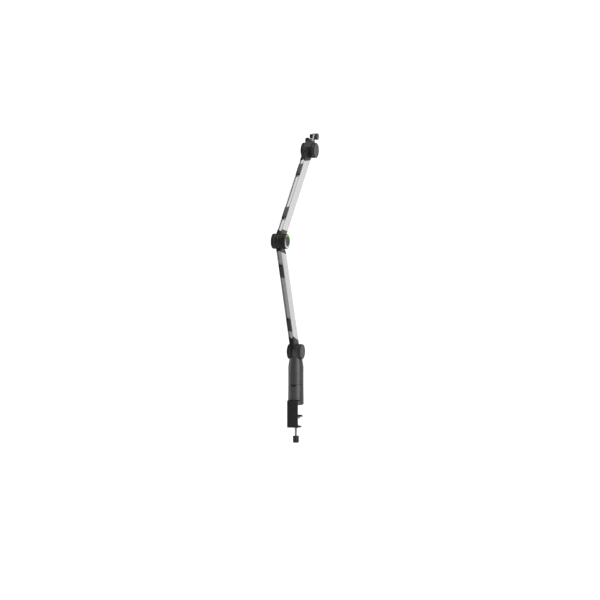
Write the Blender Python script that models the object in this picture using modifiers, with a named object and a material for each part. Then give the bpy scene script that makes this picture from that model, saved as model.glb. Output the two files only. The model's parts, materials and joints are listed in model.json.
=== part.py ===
"""Desk-clamped two-arm boom stand: C-clamp, swivel column, three friction hubs, two box arms, tilting head.

Metres, +Z up. The origin is the middle of the desk pad's underside, on the column's swivel axis.
+X runs along the hub axles, -Y is the side of the clamp's web and of the arms' cable channels.
"""

import math

import bmesh
import bpy
from mathutils import Matrix

# ---- Driving dimensions ----
GAP = 0.0003                # clearance between touching pieces
ARM_LENGTH = 0.400          # hub axis to hub axis, both arms
LOWER_LEAN = 21.85          # degrees from vertical towards -Y
UPPER_LEAN = -45.0
HEAD_LEAN = -36.6
SHOULDER_Z = 0.175
ARM_HALF_WIDTH = 0.00875
ARM_HALF_DEPTH = 0.021
ARM_WALL = 0.002
CHANNEL_HALF_WIDTH = 0.006
CHANNEL_DEPTH = 0.0055
CHANNEL_CORNER = 0.0012
LOWER_ARM_X = -0.002        # the lap joints shift each arm's middle plane sideways
UPPER_ARM_X = -0.0042

HUB_R = 0.025
HUB_STEPS = 24
SADDLE_R = HUB_R + 0.0006
CAP_END, CAP_FACE = -0.0240, -0.0144         # tension cap along the hub axis
ELBOW_CAP_END = -0.0255
WASHER_OUTER = (-0.0141, -0.0133)
TONGUE = (-0.0130, -0.0033)
WASHER_INNER = (-0.0030, -0.0022)
BARREL = (-0.0019, 0.0130)
COVER = (0.0140, 0.0240)
BOLT_R = 0.004
BOLT_BORE_R = BOLT_R + GAP
POCKET_R, POCKET_FLOOR = 0.016, 0.005        # nut pocket in each barrel
WASHER_R = 0.0238

COLUMN_R = 0.025
FOOT_R = 0.0257
SEAM_Z = 0.0675
SHAFT_TOP_Z = 0.126
PLATE = 0.004               # clamp bracket's sheet thickness
BRACKET_HALF_WIDTH = 0.0185
BRACKET_FRONT_Y = -0.0345
BRACKET_TOP_Z, BRACKET_LOW_Z = 0.016, -0.0735
BRACKET_SCREW_X = (-0.009, 0.009)
SCREW_R = 0.0039
PRESS_TOP_Z = -0.034
KNOB_TOP_Z, KNOB_LOW_Z = -0.102, -0.1248

CLIP_LENGTH = 0.048
CLIP_HALF_WIDTH = 0.007
CLIP_PROUD = 0.005
LOWER_CLIPS = (0.106, 0.301)      # middles of the clips, from the arm's lower hub axis
UPPER_CLIPS = (0.107, 0.297)

NECK_X = 0.0030
NECK_R = 0.0062
NECK_LOW, NECK_TOP = 0.0268, 0.0640
SOCKET_R, SOCKET_FLOOR = 0.0040, 0.0440
LOCK_Z = 0.0545             # cross screw of the neck, along the head's own axis
THUMB_Z = 0.0388

for leftover in list(bpy.data.objects):
    bpy.data.objects.remove(leftover, do_unlink=True)

parts = bpy.data.collections.new("boom_stand")
cutters = bpy.data.collections.new("cutters")
bpy.context.scene.collection.children.link(parts)
bpy.context.scene.collection.children.link(cutters)


# ---- Materials ----
def material(name, colour, roughness, metallic=0.0):
    made = bpy.data.materials.new(name)
    made.use_nodes = True
    shader = made.node_tree.nodes["Principled BSDF"]
    shader.inputs["Base Color"].default_value = (*colour, 1.0)
    shader.inputs["Roughness"].default_value = roughness
    shader.inputs["Metallic"].default_value = metallic
    made.diffuse_color = (*colour, 1.0)
    return made


GREY_METAL = ((0.12, 0.12, 0.125), 0.38, 0.8)
BLACK_METAL = ((0.03, 0.03, 0.03), 0.5, 0.2)
BLACK_PLASTIC = ((0.02, 0.02, 0.021), 0.5, 0.0)
RUBBER = ((0.015, 0.015, 0.015), 0.85, 0.0)
SILVER = ((0.75, 0.75, 0.76), 0.32, 1.0)
ZINC = ((0.6, 0.63, 0.66), 0.3, 1.0)
BRASS = ((0.55, 0.46, 0.26), 0.4, 1.0)
BOARD = ((0.02, 0.12, 0.05), 0.6, 0.0)
LIGHT = ((0.3, 0.85, 0.35), 0.3, 0.0)


# ---- Shape makers ----
def finish(obj, finish_values, parent):
    """Gives a sub-part its own material, puts it with the parts and hangs it on its joint's empty."""
    obj.data.materials.clear()
    obj.data.materials.append(material(obj.name, *finish_values))
    cutters.objects.unlink(obj)
    parts.objects.link(obj)
    obj.hide_render = False
    obj.display_type = "TEXTURED"
    if parent is not None:
        obj.parent = parent
    obj.data.shade_smooth()
    obj.data.set_sharp_from_angle(angle=math.radians(30))
    return obj


def helper(obj, parent=None):
    """A shape that only cuts, joins or trims another."""
    obj.hide_render = True
    obj.display_type = "WIRE"
    if parent is not None:
        obj.parent = parent
    return obj


def turned(name, profile, steps=HUB_STEPS, along="Z", at=(0, 0, 0)):
    """Solid of revolution; profile is (radius, height) points that run down the outer side."""
    closed = profile[0][0] > 0
    mesh = bpy.data.meshes.new(name)
    count = len(profile)
    edges = [(i, i + 1) for i in range(count - 1)] + ([(count - 1, 0)] if closed else [])
    mesh.from_pydata([(r, 0, z) for r, z in profile], edges, [])
    obj = bpy.data.objects.new(name, mesh)
    cutters.objects.link(obj)
    screw = obj.modifiers.new("turn", "SCREW")
    screw.steps = screw.render_steps = steps
    screw.use_merge_vertices = True
    screw.merge_threshold = 0.00001
    if along == "X":
        obj.rotation_euler = (0, math.pi / 2, 0)
    obj.location = at
    return helper(obj)


def rod(name, radius, low, high, steps=HUB_STEPS, along="Z", at=(0, 0, 0)):
    """Plain cylinder between two heights."""
    return turned(name, [(0, high), (radius, high), (radius, low), (0, low)], steps, along, at)


def tube(name, outer, inner, low, high, steps=HUB_STEPS, along="Z", at=(0, 0, 0)):
    profile = [(outer, high), (outer, low), (inner, low), (inner, high)]
    return turned(name, profile, steps, along, at)


PLANES = {
    "XY": Matrix.Identity(4),
    "XZ": Matrix(((1, 0, 0, 0), (0, 0, -1, 0), (0, 1, 0, 0), (0, 0, 0, 1))),
    "YZ": Matrix(((0, 0, 1, 0), (1, 0, 0, 0), (0, 1, 0, 0), (0, 0, 0, 1))),
}


def slab(name, outlines, low, high, plane="XY"):
    """Flat outline, with holes if there are several, given a thickness along its plane's normal."""
    curve = bpy.data.curves.new(name, "CURVE")
    curve.dimensions = "2D"
    curve.fill_mode = "BOTH"
    for outline in outlines:
        spline = curve.splines.new("POLY")
        spline.points.add(len(outline) - 1)
        for point, (u, v) in zip(spline.points, outline):
            point.co = (u, v, 0, 1)
        spline.use_cyclic_u = True
    curve.extrude = (high - low) / 2
    drawn = bpy.data.objects.new(name + "_outline", curve)
    cutters.objects.link(drawn)
    bpy.context.view_layer.update()
    evaluated = drawn.evaluated_get(bpy.context.evaluated_depsgraph_get())
    mesh = bpy.data.meshes.new_from_object(evaluated)
    bpy.data.objects.remove(drawn, do_unlink=True)
    shape = bmesh.new()
    shape.from_mesh(mesh)
    bmesh.ops.remove_doubles(shape, verts=shape.verts, dist=0.000001)
    middle = (low + high) / 2 if plane != "XZ" else -(low + high) / 2
    bmesh.ops.transform(shape, matrix=PLANES[plane] @ Matrix.Translation((0, 0, middle)), verts=shape.verts)
    bmesh.ops.recalc_face_normals(shape, faces=shape.faces)
    shape.to_mesh(mesh)
    shape.free()
    mesh.name = name
    obj = bpy.data.objects.new(name, mesh)
    cutters.objects.link(obj)
    return helper(obj)


def arc(cx, cy, radius, start, end, steps):
    """Points along an arc, angles in degrees."""
    angles = [math.radians(start + (end - start) * i / steps) for i in range(steps + 1)]
    return [(cx + radius * math.cos(a), cy + radius * math.sin(a)) for a in angles]


def rounded(x, y, radius, steps=3):
    """Rectangle outline with round corners."""
    corners = [(x[1], y[1], 0), (x[0], y[1], 90), (x[0], y[0], 180), (x[1], y[0], 270)]
    points = []
    for cx, cy, start in corners:
        inward_x = cx - math.copysign(radius, cx - sum(x) / 2)
        inward_y = cy - math.copysign(radius, cy - sum(y) / 2)
        points += arc(inward_x, inward_y, radius, start, start + 90, steps)
    return points


def boolean(obj, other, operation):
    step = obj.modifiers.new(operation.lower(), "BOOLEAN")
    step.operation = operation
    step.solver = "EXACT"
    step.object = other
    return obj


def cut(obj, *others):
    for other in others:
        boolean(obj, other, "DIFFERENCE")
    return obj


def join(obj, *others):
    for other in others:
        boolean(obj, other, "UNION")
    return obj


def trim(obj, other):
    return boolean(obj, other, "INTERSECT")


def joint(name, parent, location, lean=0.0):
    """Empty on a joint's axis; lean turns what hangs on it about +X, in degrees."""
    empty = bpy.data.objects.new(name, None)
    parts.objects.link(empty)
    empty.parent = parent
    empty.location = location
    empty.rotation_euler = (math.radians(lean), 0, 0)
    return empty


# ---- Joint empties, each on its axis ----
clamp_axis = joint("clamp_axis", None, (0, 0, 0))
swivel = joint("swivel_axis", None, (0, 0, 0))
shoulder = joint("shoulder_axis", swivel, (0, 0, SHOULDER_Z), LOWER_LEAN)
elbow = joint("elbow_axis", shoulder, (0, 0, ARM_LENGTH), UPPER_LEAN - LOWER_LEAN)
head = joint("head_axis", elbow, (0, 0, ARM_LENGTH), HEAD_LEAN - UPPER_LEAN)
shoulder_hub = joint("shoulder_hub", swivel, (0, 0, SHOULDER_Z))
elbow_hub = joint("elbow_hub", shoulder, (0, 0, ARM_LENGTH))
head_hub = joint("head_hub", elbow, (0, 0, ARM_LENGTH))


# ---- Base column, its foot, post and inlet ----
def base_column():
    foot_top, cavity_r, pad_recess_r = 0.0200, 0.0215, 0.0223
    slot_low, slot_high = 0.0116, 0.0175
    profile = [
        (0, foot_top), (cavity_r, foot_top), (cavity_r, SEAM_Z - GAP), (COLUMN_R - 0.0005, SEAM_Z - GAP),
        (COLUMN_R, SEAM_Z - 0.0008), (FOOT_R, 0.0036), (FOOT_R - 0.0005, 0.0016), (FOOT_R - 0.0018, 0.0006),
        (FOOT_R - 0.0030, 0.0003), (pad_recess_r, 0.0003), (pad_recess_r, 0.0020), (0, 0.0020),
    ]
    body = turned("base_column", profile, 32)
    slot_x = BRACKET_HALF_WIDTH + 0.0008
    slot_outline = rounded((-slot_x, slot_x), (slot_low, slot_high), 0.0015)
    slot = slab("bracket_slot", [slot_outline], -0.030, 0.020, "XZ")
    slot_plan = arc(0, 0, slot_x, 0, 180, 24) + [(-slot_x, -0.031), (slot_x, -0.031)]
    trim(slot, slab("bracket_slot_plan", [slot_plan], 0.005, 0.025))
    notch = slab("inlet_notch", [inlet_outline(GAP)], -0.030, -0.020, "XZ")
    cut(body, slot, notch)
    for x in BRACKET_SCREW_X:
        screw_hole = [
            (0, 0.013), (0.003, 0.013), (0.003, 0.0055), (0.005, 0.0055), (0.005, 0.001), (0, 0.001),
        ]
        cut(body, turned("bracket_screw_hole", screw_hole, 16, at=(x, 0, 0)))
    finish(body, GREY_METAL, None)
    finish(rod("desk_pad", 0.022, 0, 0.0017), RUBBER, None)


def inlet_outline(spare):
    """U-shaped inlet seen from the front, open towards the seam."""
    half, low, radius = 0.0077 + spare, 0.0613 - spare, 0.004
    top = SEAM_Z + 0.002 if spare else SEAM_Z - 2 * GAP
    bottom = arc(-half + radius, low + radius, radius, 180, 270, 4)
    bottom += arc(half - radius, low + radius, radius, 270, 360, 4)
    return bottom + [(half, top), (-half, top)]


def bracket():
    """Sheet bent to a C: both flanges end in a half circle about the screw's axis."""
    y0, z1, z0, bend, flange_end = BRACKET_FRONT_Y, BRACKET_TOP_Z, BRACKET_LOW_Z, 0.004, 0.024
    outer = [(flange_end, z1)] + arc(y0 + bend, z1 - bend, bend, 90, 180, 4)
    outer += arc(y0 + bend, z0 + bend, bend, 180, 270, 4) + [(flange_end, z0)]
    inner = [
        (flange_end, z0 + PLATE), (y0 + PLATE, z0 + PLATE), (y0 + PLATE, z1 - PLATE), (flange_end, z1 - PLATE),
    ]
    body = slab("clamp_bracket", [outer + inner], -0.025, 0.025, "YZ")
    w = BRACKET_HALF_WIDTH
    plan = arc(0, 0, w, 0, 180, 16) + [(-w, y0 - 0.01), (w, y0 - 0.01)]
    trim(body, slab("bracket_plan", [plan], z0 - 0.01, z1 + 0.01))
    cut(body, rod("bush_hole", 0.0063, z0 - 0.01, z0 + 0.02, 20))
    for x in BRACKET_SCREW_X:
        cut(body, rod("bracket_tapped_hole", 0.0029, z1 - 0.01, z1 + 0.01, 16, at=(x, 0, 0)))
    finish(body, BLACK_METAL, None)
    for side, x in zip(("left", "right"), BRACKET_SCREW_X):
        screw = [
            (0, 0.0152), (0.0026, 0.0152), (0.0026, 0.0052), (0.0047, 0.0052), (0.0047, 0.0023), (0, 0.0023),
        ]
        finish(turned("bracket_screw_" + side, screw, 16, at=(x, 0, 0)), ZINC, None)
    bush = [
        (0.0090, z0 + 0.0080), (0.0090, z0 + PLATE + GAP), (0.0060, z0 + PLATE + GAP), (0.0060, z0 + 0.0002),
        (SCREW_R + GAP, z0 + 0.0002), (SCREW_R + GAP, z0 + 0.0080),
    ]
    finish(turned("threaded_bush", bush, 16), ZINC, None)


def post_and_inlet():
    post = [
        (0, 0.1220), (0.0080, 0.1220), (0.0080, 0.1165), (0.0090, 0.1165), (0.0090, 0.0240), (0.0190, 0.0240),
        (0.0190, 0.0203), (0, 0.0203),
    ]
    finish(turned("swivel_post", post, 20), ZINC, None)
    finish(tube("post_retaining_ring", 0.0125, 0.0083, 0.1168, 0.1188, 16), ZINC, None)
    inlet = slab("power_inlet", [inlet_outline(0)], -0.0246, -0.0180, "XZ")
    port = slab("inlet_port", [rounded((-0.0045, 0.0045), (0.0626, 0.0658), 0.0015)], -0.030, -0.0205, "XZ")
    finish(cut(inlet, port), BLACK_PLASTIC, None)


# ---- Clamp screw and pressure plate ----
def clamp():
    top = PRESS_TOP_Z
    plate = [
        (0, top - 0.0018), (0.0225, top - 0.0018), (0.0230, top - 0.0024), (0.0230, top - 0.0042),
        (0.0225, top - 0.0048), (0.0080, top - 0.0048), (0.0080, top - 0.0075), (0.0053, top - 0.0075),
        (0.0053, top - 0.0035), (0, top - 0.0035),
    ]
    finish(turned("pressure_plate", plate, 28), BLACK_METAL, clamp_axis)
    finish(rod("pressure_pad", 0.021, top - 0.0015, top, 28), RUBBER, clamp_axis)
    finish(tube("plate_retainer", 0.015, 0.0043, top - 0.0106, top - 0.0078, 24), ZINC, clamp_axis)
    screw = [
        (0, top - 0.0040), (0.0040, top - 0.0040), (0.0050, top - 0.0050), (0.0050, top - 0.0070),
        (SCREW_R, top - 0.0074), (SCREW_R, KNOB_TOP_Z - 0.0180), (0, KNOB_TOP_Z - 0.0180),
    ]
    finish(turned("clamp_screw", screw, 16), ZINC, clamp_axis)
    lobes, radius, wave, steps = 6, 0.0096, 0.0007, 30
    outline = []
    for i in range(steps):
        turn = 2 * math.pi * (i + 0.3) / steps
        reach = radius + wave * math.cos(lobes * turn)
        outline.append((reach * math.cos(turn), reach * math.sin(turn)))
    knob = slab("clamp_knob", [outline], KNOB_LOW_Z, KNOB_TOP_Z)
    dome = [
        (0, KNOB_TOP_Z), (0.0066, KNOB_TOP_Z), (0.0092, KNOB_TOP_Z - 0.0022), (0.0110, KNOB_TOP_Z - 0.0060),
        (0.0110, KNOB_LOW_Z + 0.0060), (0.0092, KNOB_LOW_Z + 0.0014), (0.0072, KNOB_LOW_Z), (0, KNOB_LOW_Z),
    ]
    trim(knob, turned("knob_ends", dome, 16))
    cut(knob, rod("knob_bore", SCREW_R + GAP, KNOB_TOP_Z - 0.0185, KNOB_TOP_Z + 0.01, 14))
    finish(knob, BLACK_PLASTIC, clamp_axis)


# ---- Friction hubs ----
# Bolt bore, and the nut pocket that opens towards the end cover
POCKET_PROFILE = [
    (0, 0.030), (POCKET_R, 0.030), (POCKET_R, POCKET_FLOOR), (BOLT_BORE_R, POCKET_FLOOR),
    (BOLT_BORE_R, -0.030), (0, -0.030),
]


def hub(name, parent, tongue_parent, cap_end=CAP_END, cover=True):
    """Everything in one friction hub except the tongue and the barrel themselves."""
    r, edge = HUB_R, 0.0022
    cap = [
        (r, CAP_FACE), (r, cap_end + edge), (r - 0.0007, cap_end + 0.0007), (r - edge, cap_end),
        (0.0078, cap_end), (0.0078, -0.0190), (BOLT_BORE_R, -0.0190), (BOLT_BORE_R, CAP_FACE),
    ]
    finish(turned(name + "_tension_cap", cap, along="X"), BLACK_PLASTIC, parent)
    for side, span in (("outer", WASHER_OUTER), ("inner", WASHER_INNER)):
        washer = tube(f"{name}_{side}_washer", WASHER_R, BOLT_BORE_R, *span, along="X")
        finish(washer, BRASS, tongue_parent)
    bolt = [
        (0, 0.0123), (BOLT_R, 0.0123), (BOLT_R, -0.0193), (0.0065, -0.0193), (0.0065, cap_end + 0.0008),
        (0.0032, cap_end + 0.0008), (0.0032, cap_end + 0.0032), (0, cap_end + 0.0032),
    ]
    finish(turned(name + "_bolt", bolt, 16, "X"), ZINC, parent)
    nut = rod(name + "_lock_nut", 0.0075, POCKET_FLOOR + GAP, 0.0118, 6, "X")
    cut(nut, helper(rod(name + "_nut_bore", BOLT_BORE_R, 0, 0.020, 16, "X"), parent))
    finish(nut, ZINC, parent)
    if cover:
        low, high = COVER
        lid = [
            (0, high), (r - edge, high), (r - 0.0007, high - 0.0007), (r, high - edge), (r, low),
            (0.0157, low), (0.0157, low - 0.0040), (0.0137, low - 0.0040), (0.0137, high - 0.003),
            (0, high - 0.003),
        ]
        finish(turned(name + "_end_cover", lid, along="X"), BLACK_PLASTIC, parent)


def elbow_light(parent):
    """Light ring on the elbow's outer face: housing, board, ring and touch cap."""
    r, low, high = HUB_R, COVER[0], 0.0236
    housing = [
        (r, high), (r, low), (0.0157, low), (0.0157, low - 0.0040), (0.0137, low - 0.0040),
        (0.0137, high - 0.0040), (0.0235, high - 0.0040), (0.0235, high),
    ]
    finish(turned("light_housing", housing, along="X"), BLACK_PLASTIC, parent)
    finish(rod("light_board", 0.0134, 0.0160, 0.0176, 20, "X"), BOARD, parent)
    ring_low, ring_high = high - 0.0037, 0.0255
    ring = [
        (0.0232, ring_high - 0.0008), (0.0232, ring_low), (0.0168, ring_low), (0.0168, ring_high),
        (0.0222, ring_high),
    ]
    finish(turned("light_ring", ring, along="X"), LIGHT, parent)
    touch = [
        (0, ring_high - 0.0004), (0.0158, ring_high - 0.0004), (0.0165, ring_high - 0.0010),
        (0.0165, ring_low), (0, ring_low),
    ]
    finish(turned("light_centre_cap", touch, along="X"), BLACK_PLASTIC, parent)


def upper_column():
    r, low = COLUMN_R, SEAM_Z + GAP
    bore_r, bore_top = 0.0153, 0.1260
    profile = [
        (0, 0.1700), (0.0160, 0.1700), (0.0195, 0.1560), (0.0222, 0.1430), (0.0241, 0.1330), (r, SHAFT_TOP_Z),
        (r, low + 0.0006), (r - 0.0005, low), (bore_r, low), (bore_r, bore_top), (0, bore_top),
    ]
    body = turned("upper_column", profile, 32)
    hub_at = (0, 0, SHOULDER_Z)
    cut(body, rod("column_left_saddle", SADDLE_R, -0.040, WASHER_INNER[1] + 0.0001, 32, "X", hub_at))
    cut(body, rod("column_right_saddle", SADDLE_R, BARREL[1] + 0.0002, 0.040, 32, "X", hub_at))
    join(body, rod("shoulder_barrel", HUB_R, *BARREL, HUB_STEPS, "X", hub_at))
    cut(body, turned("shoulder_pocket", POCKET_PROFILE, 20, "X", hub_at))
    finish(body, GREY_METAL, swivel)
    for name, bush_low in (("lower_swivel_bush", low + GAP), ("upper_swivel_bush", 0.1040)):
        finish(tube(name, bore_r - GAP, 0.0093, bush_low, bush_low + 0.012, 20), BLACK_PLASTIC, swivel)


# ---- Arms ----
def section(x_mid):
    """Outer outline of the arm across its length, with the cable channel in the front face."""
    w, d, c = ARM_HALF_WIDTH, ARM_HALF_DEPTH, CHANNEL_HALF_WIDTH
    floor, corner = -ARM_HALF_DEPTH + CHANNEL_DEPTH, CHANNEL_CORNER
    points = arc(w - 0.002, d - 0.002, 0.002, 0, 90, 3) + arc(-w + 0.002, d - 0.002, 0.002, 90, 180, 3)
    points += [(-w, -d), (-c, -d), (-c, floor - corner), (-c + corner, floor)]
    points += [(c - corner, floor), (c, floor - corner), (c, -d), (w, -d)]
    return [(x + x_mid, y) for x, y in points]


def cavity(x_mid, spare=0.0):
    w = ARM_HALF_WIDTH - ARM_WALL - spare
    low, high = -ARM_HALF_DEPTH + CHANNEL_DEPTH + ARM_WALL + spare, ARM_HALF_DEPTH - ARM_WALL - spare
    return [(x_mid - w, low), (x_mid + w, low), (x_mid + w, high), (x_mid - w, high)]


def end_region(name, parent, x_mid, hub_z, side, front, back, spare=0.0):
    """The space an end cap fills: a diagonal edge from front to back, dipping in a V across the arm."""
    w, dip, reach = ARM_HALF_WIDTH, 0.006, 0.030
    middle = (front + back) / 2 - spare
    outline = [(x_mid - 0.02, -0.04), (x_mid + 0.02, -0.04), (x_mid + 0.02, middle), (x_mid + w, middle)]
    outline += [(x_mid, middle - dip), (x_mid - w, middle), (x_mid - 0.02, middle)]
    region = slab(name, [outline], -reach, reach, "XZ")
    slope = (back - front) / (2 * ARM_HALF_DEPTH)
    shear = Matrix(((1, 0, 0, 0), (0, 1, 0, 0), (0, slope, 1, 0), (0, 0, 0, 1)))
    region.data.transform(shear)
    region.data.transform(Matrix.Diagonal((1, 1, side, 1)))
    if side < 0:
        region.data.flip_normals()
    region.data.transform(Matrix.Translation((0, 0, hub_z)))
    return helper(region, parent)


def end_cap(name, parent, x_mid, hub_z, side, front, back, taper, barrel):
    """End of an arm: a block flush with the profile, a plug inside it, and a tongue or barrel."""
    d = ARM_HALF_DEPTH
    body = slab(name, [section(x_mid)], *sorted((hub_z, hub_z + side * 0.090)))
    trim(body, end_region(name + "_edge", parent, x_mid, hub_z, side, front, back, GAP))
    plug_low, plug_high = (0.030 if front > back else 0.028), max(front, back) + 0.012
    plug_span = sorted((hub_z + side * plug_low, hub_z + side * plug_high))
    join(body, helper(slab(name + "_plug", [cavity(x_mid, GAP)], *plug_span), parent))
    if taper:
        wedge = [
            (d + 0.010, -0.010), (d + 0.010, taper), (d + 0.0001, taper), (0.0090, 0.0240), (0.0090, -0.010),
        ]
        wedge = [(y, hub_z + side * z) for y, z in wedge]
        cut(body, helper(slab(name + "_taper", [wedge], -0.030, 0.030, "YZ"), parent))
    at = (0, 0, hub_z)
    if barrel:
        saddle_high = WASHER_INNER[1] + 0.0001
        cut(body, helper(rod(name + "_saddle", SADDLE_R, -0.040, saddle_high, 32, "X", at), parent))
        join(body, helper(rod(name + "_barrel", HUB_R, *BARREL, HUB_STEPS, "X", at), parent))
        cut(body, helper(turned(name + "_pocket", POCKET_PROFILE, 20, "X", at), parent))
    else:
        saddle_low = WASHER_INNER[0] - 0.0001
        cut(body, helper(rod(name + "_saddle", SADDLE_R, saddle_low, 0.040, 32, "X", at), parent))
        join(body, helper(rod(name + "_tongue", HUB_R, *TONGUE, HUB_STEPS, "X", at), parent))
        cut(body, helper(rod(name + "_bore", BOLT_BORE_R, -0.030, 0.030, 16, "X", at), parent))
    finish(body, BLACK_PLASTIC, parent)


def clip(name, parent, x_mid, along):
    """Cable clip: held by its foot in the channel, open along its left side, with notched ends."""
    face = -ARM_HALF_DEPTH
    top, floor = face - CLIP_PROUD, face + CHANNEL_DEPTH - GAP
    foot, wide, wall, corner = CHANNEL_HALF_WIDTH - GAP, CLIP_HALF_WIDTH, 0.0016, CHANNEL_CORNER
    outline = [
        (foot - corner, floor), (foot, floor - corner), (foot, face - GAP), (wide, face - GAP),
        (wide, top + 0.001), (wide - 0.001, top), (-0.0025, top), (-0.0025, top + wall),
        (foot - wall, top + wall), (foot - wall, floor - wall),
        (-foot + wall, floor - wall), (-foot + wall, face - 0.0022), (-wide, face - 0.0022),
        (-wide, face - GAP), (-foot, face - GAP), (-foot, floor - corner), (-foot + corner, floor),
    ]
    outline = [(x + x_mid, y) for x, y in outline]
    half = CLIP_LENGTH / 2
    body = slab(name, [outline], along - half, along + half)
    w, dip = wide + 0.001, 0.005
    ends = [(-w, -half), (0, -half + dip), (w, -half), (w, half), (0, half - dip), (-w, half)]
    ends = [(x + x_mid, z + along) for x, z in ends]
    trim(body, helper(slab(name + "_ends", [ends], -0.040, 0.010, "XZ"), parent))
    finish(body, BLACK_PLASTIC, parent)


def arm(name, parent, x_mid, bottom, top, clips):
    """One arm with its two end caps; bottom and top are (front reach, back reach, taper) of the caps."""
    profile = slab(name + "_profile", [section(x_mid), cavity(x_mid)], 0.015, ARM_LENGTH - 0.015)
    cut(profile, end_region(name + "_low_edge", parent, x_mid, 0, 1, *bottom[:2]))
    cut(profile, end_region(name + "_high_edge", parent, x_mid, ARM_LENGTH, -1, *top[:2]))
    finish(profile, SILVER, parent)
    end_cap(name + "_bottom_cap", parent, x_mid, 0, 1, *bottom, barrel=False)
    end_cap(name + "_top_cap", parent, x_mid, ARM_LENGTH, -1, *top, barrel=True)
    for side, along in zip(("lower", "upper"), clips):
        clip(f"{name}_{side}_clip", parent, x_mid, along)


# ---- Head ----
def head_parts():
    left, right = TONGUE[0], 0.0120
    outline = [
        (-0.0265, -0.0040), (-0.0265, 0.0110), (-0.0150, 0.0290), (0.0130, 0.0290), (0.0210, 0.0130),
        (0.0100, -0.0050), (-0.0120, -0.0120),
    ]
    body = slab("head_block", [outline], left, right, "YZ")
    join(body, helper(rod("head_boss", 0.0085, 0.020, 0.0320, 20, at=(NECK_X, 0, 0)), head))
    cut(body, helper(rod("head_saddle", SADDLE_R, WASHER_INNER[0] - 0.0001, 0.040, 32, "X"), head))
    join(body, helper(rod("head_tongue", HUB_R, *TONGUE, HUB_STEPS, "X"), head))
    lug = slab("head_lug", [rounded((-0.0060, 0.0060), (0.0200, 0.0430), 0.003)], -0.0095, -0.0042, "YZ")
    join(body, helper(lug, head))
    cut(body, helper(rod("neck_bore", NECK_R + GAP, NECK_LOW - GAP, 0.060, 16, at=(NECK_X, 0, 0)), head))
    cut(body, helper(rod("collar_recess", 0.0088, 0.0321, 0.0356, 20, at=(NECK_X, 0, 0)), head))
    cut(body, helper(rod("thumb_bore", 0.0023, -0.020, 0.0, 12, "X", (0, 0, THUMB_Z)), head))
    cut(body, helper(rod("head_bore", BOLT_BORE_R, -0.030, 0.030, 16, "X"), head))
    finish(body, BLACK_PLASTIC, head)

    neck_profile = [
        (0, SOCKET_FLOOR), (SOCKET_R, SOCKET_FLOOR), (SOCKET_R, NECK_TOP), (NECK_R - 0.0003, NECK_TOP),
        (NECK_R, NECK_TOP - 0.0003), (NECK_R, NECK_LOW), (0, NECK_LOW),
    ]
    neck = turned("neck", neck_profile, 16, at=(NECK_X, 0, 0))
    cut(neck, helper(rod("lock_bore", 0.0023, -0.020, 0.020, 12, "X", (0, 0, LOCK_Z)), head))
    finish(neck, SILVER, head)
    finish(tube("neck_collar", 0.0085, NECK_R + GAP, 0.0323, 0.0352, 20, at=(NECK_X, 0, 0)), ZINC, head)

    lock = [
        (0, 0.0172), (0.0092, 0.0172), (0.0108, 0.0157), (0.0110, 0.0137), (0.0110, 0.0118), (0.0100, 0.0103),
        (0.0040, 0.0100), (0.0040, 0.0095), (0.0020, 0.0095), (0.0020, -0.0030), (0, -0.0030),
    ]
    finish(turned("lock_knob", lock, 20, "X", (0, 0, LOCK_Z)), BLACK_PLASTIC, head)
    cap = [
        (0, -0.0035), (0.0075, -0.0035), (0.0080, -0.0044), (0.0080, -0.0085), (0.0066, -0.0100), (0, -0.0100),
    ]
    finish(turned("lock_end_cap", cap, 16, "X", (0, 0, LOCK_Z + 0.001)), BLACK_PLASTIC, head)
    thumb = [
        (0, -0.0042), (0.0020, -0.0042), (0.0020, -0.0100), (0.0050, -0.0104), (0.0086, -0.0112),
        (0.0093, -0.0130), (0.0093, -0.0190), (0.0078, -0.0210), (0, -0.0215),
    ]
    finish(turned("thumb_screw", thumb, 20, "X", (0, 0, THUMB_Z)), BLACK_PLASTIC, head)


base_column()
bracket()
post_and_inlet()
clamp()
upper_column()
hub("shoulder", shoulder_hub, shoulder)
arm("lower_arm", shoulder, LOWER_ARM_X, (0.066, 0.030, 0), (0.029, 0.057, 0.055), LOWER_CLIPS)
hub("elbow", elbow_hub, elbow, ELBOW_CAP_END, cover=False)
elbow_light(elbow_hub)
arm("upper_arm", elbow, UPPER_ARM_X, (0.034, 0.062, 0.060), (0.066, 0.025, 0), UPPER_CLIPS)
hub("head", head_hub, head)
head_parts()
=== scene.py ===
"""Looks of the desk-clamped two-arm boom stand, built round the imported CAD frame. Metres, +Z up."""
import json
import math

import bmesh
import bpy
from mathutils import Matrix, Vector

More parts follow.
